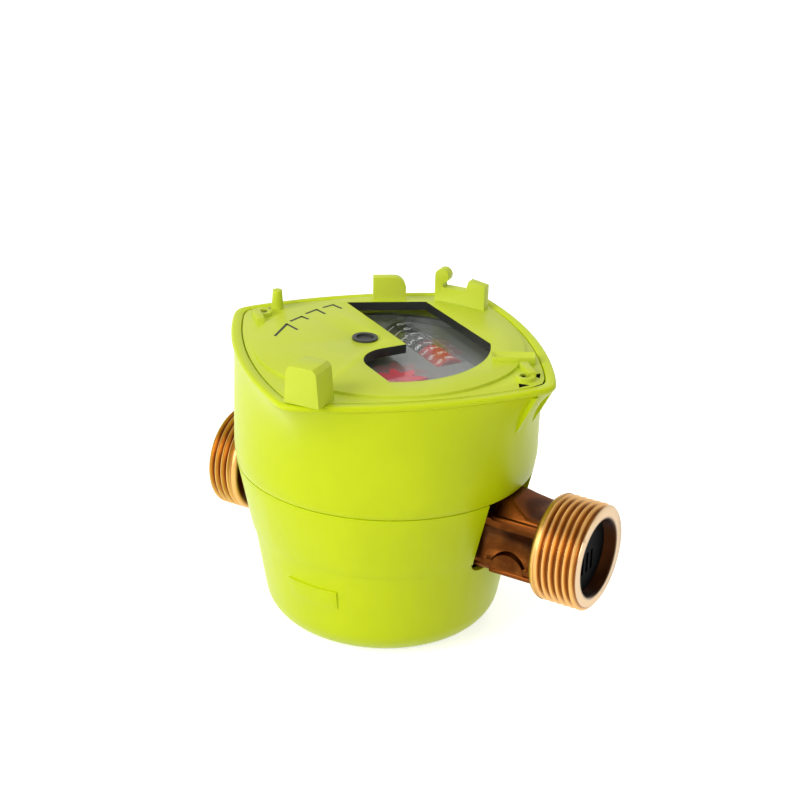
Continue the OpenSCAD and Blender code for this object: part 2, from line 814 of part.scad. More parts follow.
module port_plug() {
    flange = 0.5;
    color([0.4, 0.41, 0.42])
    register_frame() translate(port_place) {
        translate([0, 0, pane_z]) cylinder(d = service_port_d - 2 * run_gap, h = seat_top - pane_z);
        translate([0, 0, seat_top]) tube(service_port_d / 2 - run_gap, service_port_d / 2 - 1, flange);
    }
}

// Flat plate inside the rim, with the window and the fittings for a lid
module top_plate() {
    color(lime) {
        difference() {
            union() {
                translate([0, 0, plate_z]) linear_extrude(plate_t) polygon(outline(0, plate_half, 1));
                translate([0, 0, plate_z]) cylinder(r = seat_r, h = seat_top - plate_z, $fn = 128);
            }
            window_cut();
            register_frame() translate(port_place) cylinder(d = service_port_d, h = far);
            for (side = [-1, 1])
                translate([side * eyelet_x, 0, 0]) cylinder(r = eyelet_r, h = far);
            corner_slots();
        }
        translate([0, 0, plate_top - eps]) plate_fittings();
    }
}

// Small three-sided slots in the plate's two seal corners
module corner_slots() {
    slot = [[-2.6, -0.2], [0, -0.9], [-1.3, 2]];
    translate([corner_r - 2, 3.4, 0]) linear_extrude(far) polygon(slot);
    for (turn = [0, 180])
        rotate(turn) translate([corner_r - 2, -3.4, 0]) mirror([0, 1, 0]) linear_extrude(far) polygon(slot);
}

module plate_fittings() {
    lid_post();
    lid_tab();
    lid_hinge();
    translate([5 - corner_r, 6, 0]) cylinder(r1 = 1.6, r2 = 1.2, h = 5);
    for (side = [-1, 1]) {
        translate([side * eyelet_x, 0, 0]) tube(eyelet_r + 1.1, eyelet_r, 1);
        rotate(side > 0 ? 0 : 180) translate([corner_r - 9, 5.4, 0]) rotate(-45) cube([7, 2, 1.6]);
    }
}

// Tapered post at the front corner
module lid_post() {
    w = 9;
    root_depth = 3.2;
    depth = 7.4;
    h = 9.5;
    undercut = rim_stand + loose_gap;
    turn = 5;
    rotate(turn)
        translate([0, root_depth + 2.2 - corner_r, 0])
            rotate([90, 0, 0]) {
                translate([-w / 2, 0, 0]) cube([w, undercut + eps, root_depth]);
                linear_extrude(depth)
                    polygon([[-w / 2, undercut], [w / 2, undercut], [w / 2 - 0.8, h - 1], [w / 2 - 1.8, h],
                        [1.4 - w / 2, h], [0.5 - w / 2, h - 1]]);
            }
}

// Tab behind the window's straight side, rounded at one top corner
module lid_tab() {
    w = 8.5;
    h = 7;
    round_r = 3;
    thick = 2.4;
    behind = 1.2;
    along = 1.5;
    register_frame()
        translate((window_side[0] + window_side[1]) / 2)
            rotate(side_turn)
                translate([along, behind + thick, 0])
                    rotate([90, 0, 0])
                        linear_extrude(thick)
                            polygon(concat([[w / 2, 0]], arc([w / 2 - round_r, h - round_r], round_r, 0, 90),
                                [[-w / 2, h], [-w / 2, 0]]));
}

// Hinge lug at the back corner: a knob, a notch and a block
module lid_hinge() {
    w = 14;
    thick = 2.8;
    knob_r = 1.9;
    turn = 6;
    translate([0, corner_r - 5.2, 0])
        rotate(turn) rotate([90, 0, 0]) {
            linear_extrude(thick)
                polygon([[-w / 2, 0], [w / 2, 0], [w / 2, 6.4], [w / 2 - 4.6, 7.2], [w / 2 - 5.4, 4.4],
                    [2.4 - w / 2, 4.4], [2 - w / 2, 7], [-w / 2, 7]]);
            translate([knob_r - w / 2, 7.4, 0]) cylinder(r = knob_r, h = thick);
        }
}

meter_body();
inlet_strainer();
chamber_cup();
chamber_seal();
division_plate();
rotary_piston();
chamber_cover();
drive_dog();
drive_magnet();
plate_seal();
pressure_plate();
locking_ring();
lower_shroud();
upper_shroud();
register_can();
follower_magnet();
input_arbor();
gear_plate();
star_arbor();
drum_frame();
drum_axle();
drum(1);  // drum_1
drum(2);  // drum_2
drum(3);  // drum_3
drum(4);  // drum_4
drum(5);  // drum_5
drum(6);  // drum_6
drum(7);  // drum_7
drum(8);  // drum_8
dial_plate();
register_screws();
flow_star();
window_pane();
port_plug();
top_plate();
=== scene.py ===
"""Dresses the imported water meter: bronze pipe ends, lime shrouds, top plate, register and studio."""

import logging
import math
from collections.abc import Iterable
from dataclasses import dataclass, field
from enum import Enum

import bmesh
import bpy
from mathutils import Matrix, Vector


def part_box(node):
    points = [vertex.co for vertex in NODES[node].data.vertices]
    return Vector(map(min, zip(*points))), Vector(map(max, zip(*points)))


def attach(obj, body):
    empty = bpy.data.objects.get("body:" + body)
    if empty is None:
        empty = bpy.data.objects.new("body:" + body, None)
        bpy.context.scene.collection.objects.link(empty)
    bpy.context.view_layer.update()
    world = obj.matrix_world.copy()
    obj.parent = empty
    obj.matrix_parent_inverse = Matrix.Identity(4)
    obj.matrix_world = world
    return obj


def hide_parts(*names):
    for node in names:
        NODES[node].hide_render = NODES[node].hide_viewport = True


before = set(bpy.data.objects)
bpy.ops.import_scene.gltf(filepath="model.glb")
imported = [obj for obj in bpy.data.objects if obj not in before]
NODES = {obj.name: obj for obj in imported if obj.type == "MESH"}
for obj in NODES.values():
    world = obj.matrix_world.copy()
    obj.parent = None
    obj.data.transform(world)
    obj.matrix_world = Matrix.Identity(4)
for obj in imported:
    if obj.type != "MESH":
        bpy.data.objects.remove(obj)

LOG = logging.getLogger("water_meter")
MM = 0.001
BUMP_DISTANCE = 0.2 * MM
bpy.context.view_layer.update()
ROOT = "meter"
Colour = tuple[float, float, float]
Vec3 = tuple[float, float, float]


def srgb(red: int, green: int, blue: int) -> Colour:
    """Gives the linear colour of an 8-bit screen colour."""
    def linear(value: int) -> float:
        """Gives one linear channel."""
        share = value / 255
        return share / 12.92 if share <= 0.04045 else ((share + 0.055) / 1.055) ** 2.4
    return linear(red), linear(green), linear(blue)


class NodeTree:
    """Short calls for building one shader tree."""

    def __init__(self, tree: bpy.types.NodeTree) -> None:
        """Keeps the tree that the calls add to."""
        self.tree = tree

    def add(self, kind: str, **settings: object) -> bpy.types.Node:
        """Adds a node.

        Args:
            kind: The node's Blender type without its ShaderNode prefix.
            settings: Attributes to set, or inputs by name where the node has no such attribute.

        Returns:
            The new node.
        """
        node = self.tree.nodes.new("ShaderNode" + kind)
        for name, value in settings.items():
            if hasattr(node, name):
                setattr(node, name, value)
            else:
                node.inputs[name.replace("_", " ")].default_value = value
        return node

    def link(self, source: bpy.types.NodeSocket, target: bpy.types.NodeSocket) -> None:
        """Joins an output to an input."""
        self.tree.links.new(source, target)

    def ramp(self, source: bpy.types.NodeSocket, low: float, high: float) -> bpy.types.NodeSocket:
        """Stretches a value so that low gives 0 and high gives 1."""
        node = self.add("MapRange", interpolation_type="SMOOTHSTEP")
        node.inputs["From Min"].default_value = low
        node.inputs["From Max"].default_value = high
        self.link(source, node.inputs["Value"])
        return node.outputs["Result"]

    def mix(self, share: bpy.types.NodeSocket, first: object, second: object) -> bpy.types.NodeSocket:
        """Mixes two colours, each a socket or a constant.

        Args:
            share: The share of the second colour.
            first: The colour at share 0.
            second: The colour at share 1.

        Returns:
            The mixed colour's socket.
        """
        node = self.add("Mix", data_type="RGBA")
        self.link(share, node.inputs[0])
        for place, value in ((6, first), (7, second)):
            if isinstance(value, bpy.types.NodeSocket):
                self.link(value, node.inputs[place])
            else:
                node.inputs[place].default_value = (*value, 1.0)
        return node.outputs[2]


def effect_group(name: str, inputs: dict[str, float], outputs: dict[str, str]) -> NodeTree:
    """Starts a shader node group with named sockets.

    Args:
        name: The group's name.
        inputs: Each float input and its default.
        outputs: Each output and its socket type.

    Returns:
        The group's tree, with its input and output nodes in place.
    """
    group = bpy.data.node_groups.new(name, "ShaderNodeTree")
    for label, value in inputs.items():
        socket = group.interface.new_socket(label, in_out="INPUT", socket_type="NodeSocketFloat")
        socket.default_value = value
    for label, kind in outputs.items():
        group.interface.new_socket(label, in_out="OUTPUT", socket_type=kind)
    group.nodes.new("NodeGroupInput").name = "in"
    group.nodes.new("NodeGroupOutput").name = "out"
    return NodeTree(group)


def surface_grain_group() -> bpy.types.NodeTree:
    """Builds the grain that moulded and cast skins share: a fine height and a broad mottle."""
    tree = effect_group("surface_grain", {"Fine Scale": 900.0, "Broad Scale": 40.0},
                        {"Height": "NodeSocketFloat", "Mottle": "NodeSocketFloat"})
    entry, leave = tree.tree.nodes["in"], tree.tree.nodes["out"]
    place = tree.add("TexCoord")
    for scale, result, detail in (("Fine Scale", "Height", 3.0), ("Broad Scale", "Mottle", 5.0)):
        noise = tree.add("TexNoise", Detail=detail, Roughness=0.55)
        tree.link(place.outputs["Object"], noise.inputs["Vector"])
        tree.link(entry.outputs[scale], noise.inputs["Scale"])
        tree.link(noise.outputs["Fac"], leave.inputs[result])
    return tree.tree


def pipe_radius_group() -> bpy.types.NodeTree:
    """Builds a mask of a point's distance from the pipe's axis, 0 at the root radius and 1 at the crest."""
    tree = effect_group("pipe_radius", {"Root": 0.012, "Crest": 0.0132, "Axis Height": 0.0305},
                        {"Crest Mask": "NodeSocketFloat"})
    entry, leave = tree.tree.nodes["in"], tree.tree.nodes["out"]
    place = tree.add("TexCoord")
    split = tree.add("SeparateXYZ")
    tree.link(place.outputs["Object"], split.inputs[0])
    above = tree.add("Math", operation="SUBTRACT")
    tree.link(split.outputs["Z"], above.inputs[0])
    tree.link(entry.outputs["Axis Height"], above.inputs[1])
    flat = tree.add("CombineXYZ")
    tree.link(split.outputs["Y"], flat.inputs["Y"])
    tree.link(above.outputs[0], flat.inputs["Z"])
    reach = tree.add("VectorMath", operation="LENGTH")
    tree.link(flat.outputs[0], reach.inputs[0])
    stretch = tree.add("MapRange", interpolation_type="SMOOTHSTEP")
    tree.link(reach.outputs["Value"], stretch.inputs["Value"])
    tree.link(entry.outputs["Root"], stretch.inputs["From Min"])
    tree.link(entry.outputs["Crest"], stretch.inputs["From Max"])
    tree.link(stretch.outputs["Result"], leave.inputs["Crest Mask"])
    return tree.tree


GRAIN = surface_grain_group()
PIPE_RADIUS = pipe_radius_group()


def new_material(name: str) -> tuple[bpy.types.Material, NodeTree, bpy.types.Node]:
    """Starts a node material.

    Args:
        name: The finish's name.

    Returns:
        The material, its tree and its Principled BSDF.
    """
    material = bpy.data.materials.new(name)
    material.use_nodes = True
    return material, NodeTree(material.node_tree), material.node_tree.nodes["Principled BSDF"]


def grained_skin(tree: NodeTree, skin: bpy.types.Node, scales: tuple[float, float],
                 rough: tuple[float, float], bump: float) -> bpy.types.NodeSocket:
    """Gives a skin the shared grain: a roughness that follows the mottle, and a fine bump.

    Args:
        tree: The material's tree.
        skin: The material's Principled BSDF.
        scales: The fine and the broad scale of the grain.
        rough: The roughness at mottle 0 and at mottle 1.
        bump: The bump's strength, or 0 for none.

    Returns:
        The mottle's socket.
    """
    grain = tree.add("Group", node_tree=GRAIN)
    grain.inputs["Fine Scale"].default_value, grain.inputs["Broad Scale"].default_value = scales
    stretch = tree.add("MapRange")
    stretch.inputs["To Min"].default_value, stretch.inputs["To Max"].default_value = rough
    tree.link(grain.outputs["Mottle"], stretch.inputs["Value"])
    tree.link(stretch.outputs["Result"], skin.inputs["Roughness"])
    if bump > 0:
        dents = tree.add("Bump", Strength=bump, Distance=BUMP_DISTANCE)
        tree.link(grain.outputs["Height"], dents.inputs["Height"])
        tree.link(dents.outputs["Normal"], skin.inputs["Normal"])
    return grain.outputs["Mottle"]


@dataclass(frozen=True)
class MouldedFinish:
    """A moulded plastic or rubber skin with a slight mottle and a fine grain."""

    name: str
    colour: Colour
    shade: Colour
    roughness: float = 0.38
    specular: float = 0.5
    fine_scale: float = 1400.0
    broad_scale: float = 45.0
    bump: float = 0.06
    subsurface: float = 0.0

    def material(self) -> bpy.types.Material:
        """Builds the finish as a node material."""
        material, tree, skin = new_material(self.name)
        mottle = grained_skin(tree, skin, (self.fine_scale, self.broad_scale),
                              (self.roughness - 0.04, self.roughness + 0.04), self.bump)
        share = tree.ramp(mottle, 0.25, 0.75)
        tree.link(tree.mix(share, self.shade, self.colour), skin.inputs["Base Color"])
        skin.inputs["Specular IOR Level"].default_value = self.specular
        skin.inputs["Subsurface Weight"].default_value = self.subsurface
        skin.inputs["Subsurface Radius"].default_value = (0.8, 0.7, 0.1)
        skin.inputs["Subsurface Scale"].default_value = 0.002
        return material


@dataclass(frozen=True)
class MetalFinish:
    """A bare metal with tarnish in broad patches and a fine tooled grain."""

    name: str
    colour: Colour
    tarnish: Colour
    roughness: float = 0.35
    fine_scale: float = 900.0
    broad_scale: float = 120.0
    bump: float = 0.12

    def material(self) -> bpy.types.Material:
        """Builds the finish as a node material."""
        material, tree, skin = new_material(self.name)
        mottle = grained_skin(tree, skin, (self.fine_scale, self.broad_scale),
                              (self.roughness + 0.1, self.roughness - 0.08), self.bump)
        share = tree.ramp(mottle, 0.3, 0.68)
        tree.link(tree.mix(share, self.tarnish, self.colour), skin.inputs["Base Color"])
        skin.inputs["Metallic"].default_value = 1.0
        return material


@dataclass(frozen=True)
class BronzeFinish:
    """Cast and turned bronze: thread crests painted bright as a highlight, roots painted dark as shade, a
    stained casting whose dark tone stands in part for shade in the neck's recesses, neck edges painted bright
    as a highlight, a bore painted dark as shade and pale end faces.
    """

    name: str
    # crest is the painted highlight colour of the thread crests; root is the painted shade colour of the
    # thread roots.
    crest: Colour
    root: Colour
    # casting is the cast tone, kept dark in part as painted shade in the neck's recesses.
    casting: Colour
    stain: Colour
    end_face: Colour
    # bore is a painted shade colour for the inside of the mouth and waterway.
    bore: Colour
    # The reach where the dark cast tone, in part painted shade, turns to the thread colours, which paint a
    # highlight on the neck's edges and ribs.
    casting_and_highlight_r: tuple[float, float] = (0.0096, 0.0106)
    # The reach from the roots' painted shade out to the crests' painted highlight.
    thread_highlight_r: tuple[float, float] = (0.0119, 0.0131)
    pipe_middle: float = 0.007
    end_reach: tuple[float, float] = (0.0525, 0.0528)
    bore_reach: tuple[float, float] = (0.0482, 0.0484)
    axis_height: float = 0.0305
    roughness: float = 0.3
    fine_scale: float = 1300.0
    broad_scale: float = 160.0
    bump: float = 0.15

    def ring(self, tree: NodeTree, reach: tuple[float, float]) -> bpy.types.NodeSocket:
        """Gives the mask of points further than a reach from the pipe's axis."""
        ring = tree.add("Group", node_tree=PIPE_RADIUS)
        ring.inputs["Root"].default_value = reach[0]
        ring.inputs["Crest"].default_value = reach[1]
        ring.inputs["Axis Height"].default_value = self.axis_height
        return ring.outputs["Crest Mask"]

    def ends(self, tree: NodeTree, reach: tuple[float, float]) -> bpy.types.NodeSocket:
        """Gives the mask of both ends, which lie at the same distance from the pipe's middle."""
        place = tree.add("TexCoord")
        split = tree.add("SeparateXYZ")
        tree.link(place.outputs["Object"], split.inputs[0])
        along = tree.add("Math", operation="SUBTRACT")
        along.inputs[1].default_value = self.pipe_middle
        tree.link(split.outputs["X"], along.inputs[0])
        away = tree.add("Math", operation="ABSOLUTE")
        tree.link(along.outputs[0], away.inputs[0])
        return tree.ramp(away.outputs[0], *reach)

    def material(self) -> bpy.types.Material:
        """Builds the finish as a node material."""
        material, tree, skin = new_material(self.name)
        mottle = grained_skin(tree, skin, (self.fine_scale, self.broad_scale),
                              (self.roughness - 0.06, self.roughness + 0.16), self.bump)
        patches = tree.ramp(mottle, 0.4, 0.72)
        # Painted highlight on the thread crests and painted shade in the thread roots, by distance from the
        # pipe's axis.
        thread = tree.mix(self.ring(tree, self.thread_highlight_r), self.root, self.crest)
        turned = tree.mix(self.ends(tree, self.end_reach), thread, self.end_face)
        cast = tree.mix(patches, self.casting, self.stain)
        # Painted shade: the cast surfaces near each end, inside the mouth and the waterway, are darkened.
        cast = tree.mix(self.ends(tree, self.bore_reach), cast, self.bore)
        # Painted light on the neck: its faces near the pipe's axis keep the dark cast tone as painted shade,
        # and its edges and ribs further out take the thread's root colour as a painted highlight.
        tree.link(tree.mix(self.ring(tree, self.casting_and_highlight_r), cast, turned), skin.inputs["Base Color"])
        skin.inputs["Metallic"].default_value = 1.0
        return material


@dataclass(frozen=True)
class ClearFinish:
    """A clear moulding that light passes through, with faint scuffs."""

    name: str
    colour: Colour
    transmission: float = 1.0
    roughness: float = 0.04
    clear: float = 0.0
    ior: float = 1.45
    specular: float = 0.1
    fine_scale: float = 900.0
    broad_scale: float = 90.0

    def material(self) -> bpy.types.Material:
        """Builds the finish as a node material whose shadow lets light through."""
        material, tree, skin = new_material(self.name)
        skin.inputs["Base Color"].default_value = (*self.colour, 1.0)
        skin.inputs["Transmission Weight"].default_value = self.transmission
        skin.inputs["IOR"].default_value = self.ior
        skin.inputs["Specular IOR Level"].default_value = self.specular
        grained_skin(tree, skin, (self.fine_scale, self.broad_scale),
                     (self.roughness, self.roughness + 0.06), 0.0)
        passing = tree.add("BsdfTransparent")
        passing.inputs["Color"].default_value = (*self.colour, 1.0)
        rays = tree.add("LightPath")
        mix = tree.add("MixShader")
        share = tree.add("Math", operation="MAXIMUM")
        share.inputs[1].default_value = self.clear
        tree.link(rays.outputs["Is Shadow Ray"], share.inputs[0])
        tree.link(share.outputs[0], mix.inputs[0])
        tree.link(skin.outputs[0], mix.inputs[1])
        tree.link(passing.outputs[0], mix.inputs[2])
        tree.link(mix.outputs[0], material.node_tree.nodes["Material Output"].inputs["Surface"])
        return material


class Finish(Enum):
    """Every finish on the meter."""

    LIME = MouldedFinish("lime_plastic", srgb(210, 226, 8), srgb(204, 220, 4), roughness=0.34, specular=0.24,
                         subsurface=0.05)
    LIME_PLATE = MouldedFinish("lime_plate", srgb(208, 222, 60), srgb(202, 217, 50), roughness=0.42,
                               specular=0.3, subsurface=0.05)
    # Bronze with painted light: crest is a painted highlight, root and bore are painted shade, and casting is
    # in part painted shade.
    BRONZE = BronzeFinish("bronze", crest=srgb(230, 178, 104), root=srgb(120, 64, 24),
                          casting=srgb(80, 41, 14), stain=srgb(118, 67, 26),
                          end_face=srgb(216, 186, 146), bore=srgb(46, 23, 9))
    STRAINER = MouldedFinish("strainer_plastic", srgb(7, 7, 8), srgb(5, 5, 6), roughness=0.6,
                             specular=0.06)
    CHAMBER = MouldedFinish("chamber_plastic", srgb(214, 214, 206), srgb(204, 203, 194))
    PISTON = MouldedFinish("piston_plastic", srgb(56, 58, 62), srgb(46, 48, 52), roughness=0.3)
    RUBBER = MouldedFinish("rubber", srgb(30, 30, 31), srgb(22, 22, 23), roughness=0.7, bump=0.15)
    STEEL = MetalFinish("steel", srgb(190, 192, 196), srgb(160, 162, 166))
    MAGNET = MetalFinish("magnet", srgb(96, 98, 102), srgb(70, 71, 75), roughness=0.5)
    CAN = MetalFinish("can_metal", srgb(150, 152, 152), srgb(118, 120, 121), roughness=0.4)
    WORKS = MetalFinish("works_brass", srgb(205, 178, 104), srgb(176, 146, 78), roughness=0.3)
    DIAL = MouldedFinish("dial_plastic", srgb(128, 128, 126), srgb(116, 117, 116), roughness=0.55)
    BLACK_DRUM = MouldedFinish("black_drum", srgb(34, 34, 37), srgb(26, 26, 29), roughness=0.6, specular=0.15)
    RED_DRUM = MouldedFinish("red_drum", srgb(196, 36, 44), srgb(180, 28, 36), roughness=0.6, specular=0.15)
    FIGURES = MouldedFinish("drum_figures", srgb(244, 244, 240), srgb(236, 236, 230), roughness=0.5)
    STAR = ClearFinish("star_red", srgb(235, 70, 92), transmission=0.35, roughness=0.2)
    PANE = ClearFinish("pane_glass", (0.97, 0.98, 0.97), clear=0.8)
    PLUG = MouldedFinish("plug_grey", srgb(60, 62, 58), srgb(48, 50, 46), roughness=0.45)
    # Painted shade on the upright walls of the window and of the slots, and also the window's dark border.
    BORDER = MouldedFinish("window_border_and_shade", srgb(38, 40, 36), srgb(28, 30, 27), roughness=0.4)
    PRINT = MouldedFinish("plate_print", srgb(44, 50, 28), srgb(36, 42, 22), roughness=0.55)

    def get(self) -> bpy.types.Material:
        """Gives the finish's material, built at its first use."""
        found = bpy.data.materials.get(self.value.name)
        if found is None or not found.get("meter_finish"):
            found = self.value.material()
            found["meter_finish"] = True
        return found


def round_edges(mesh: bmesh.types.BMesh, edges: list[bmesh.types.BMEdge], offset: float,
                segments: int = 2) -> None:
    """Rounds edges by an even width."""
    bmesh.ops.bevel(mesh, geom=edges, offset=offset, offset_type="OFFSET", segments=segments, profile=0.5,
                    affect="EDGES", clamp_overlap=True, material=-1)


def cut_plane(mesh: bmesh.types.BMesh, place: Vec3, normal: Vec3, clear: bool = False) -> None:
    """Cuts a whole mesh along a plane, and clears what lies on the normal's side where asked."""
    bmesh.ops.bisect_plane(mesh, geom=[*mesh.verts, *mesh.edges, *mesh.faces], dist=1e-7, plane_co=place,
                           plane_no=normal, clear_outer=clear)


def edges_of(verts: Iterable[bmesh.types.BMVert]) -> list[bmesh.types.BMEdge]:
    """Gives every edge at some points."""
    return list({edge for vert in verts for edge in vert.link_edges})


def faces_of(verts: Iterable[bmesh.types.BMVert]) -> list[bmesh.types.BMFace]:
    """Gives every face at some points."""
    return list({face for vert in verts for face in vert.link_faces})


def add_prism(mesh: bmesh.types.BMesh, profile: Iterable[tuple[float, float]],
              half: float) -> list[bmesh.types.BMVert]:
    """Adds a prism.

    Args:
        mesh: The mesh to add to.
        profile: The prism's outline in X and Z.
        half: Half its depth along Y.

    Returns:
        The prism's points.
    """
    face = mesh.faces.new([mesh.verts.new((x, -half, z)) for x, z in profile])
    grown = bmesh.ops.extrude_face_region(mesh, geom=[face])["geom"]
    far = [item for item in grown if isinstance(item, bmesh.types.BMVert)]
    bmesh.ops.translate(mesh, verts=far, vec=(0, 2 * half, 0))
    return list({*far, *face.verts})


def softened_copy(node: str, offset: float, crease: float = 30.0, segments: int = 2) -> bmesh.types.BMesh:
    """Merges a copy of a CAD solid and rounds its sharp edges.

    Args:
        node: The CAD node.
        offset: The rounding's width in metres, or 0 for none.
        crease: The least angle of an edge that is rounded, in degrees.
        segments: The rounding's segments.

    Returns:
        The copy as a bmesh.
    """
    mesh = bmesh.new()
    mesh.from_mesh(NODES[node].data)
    bmesh.ops.remove_doubles(mesh, verts=mesh.verts, dist=2e-6)
    bmesh.ops.dissolve_limit(mesh, angle_limit=math.radians(0.5), verts=mesh.verts, edges=mesh.edges)
    if offset > 0:
        limit = math.radians(crease)
        edges = [edge for edge in mesh.edges if edge.is_manifold and edge.calc_face_angle(0.0) > limit]
        round_edges(mesh, edges, offset, segments)
    return mesh


@dataclass
class Piece:
    """One finished object of the scene."""

    name: str
    finish: Finish
    slot: str
    body: str = ROOT
    stands_for: tuple[str, ...] = ()
    crease: float = 35.0

    def place(self, mesh: bmesh.types.BMesh) -> bpy.types.Object:
        """Turns a bmesh into the piece's object, hangs it from its body's empty and hides the CAD solids it
        stands for.

        Args:
            mesh: The shape, in metres in the row frame. It is freed.

        Returns:
            The object.
        """
        data = bpy.data.meshes.new(self.name)
        mesh.to_mesh(data)
        mesh.free()
        data.materials.clear()
        data.materials.append(self.finish.get())
        for face in data.polygons:
            face.use_smooth = True
            face.material_index = 0
        data.set_sharp_from_angle(angle=math.radians(self.crease))
        piece = bpy.data.objects.new(self.name, data)
        bpy.context.scene.collection.objects.link(piece)
        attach(piece, self.body)
        if self.stands_for:
            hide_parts(*self.stands_for)
        LOG.info("%s: %d faces", self.name, len(data.polygons))
        return piece


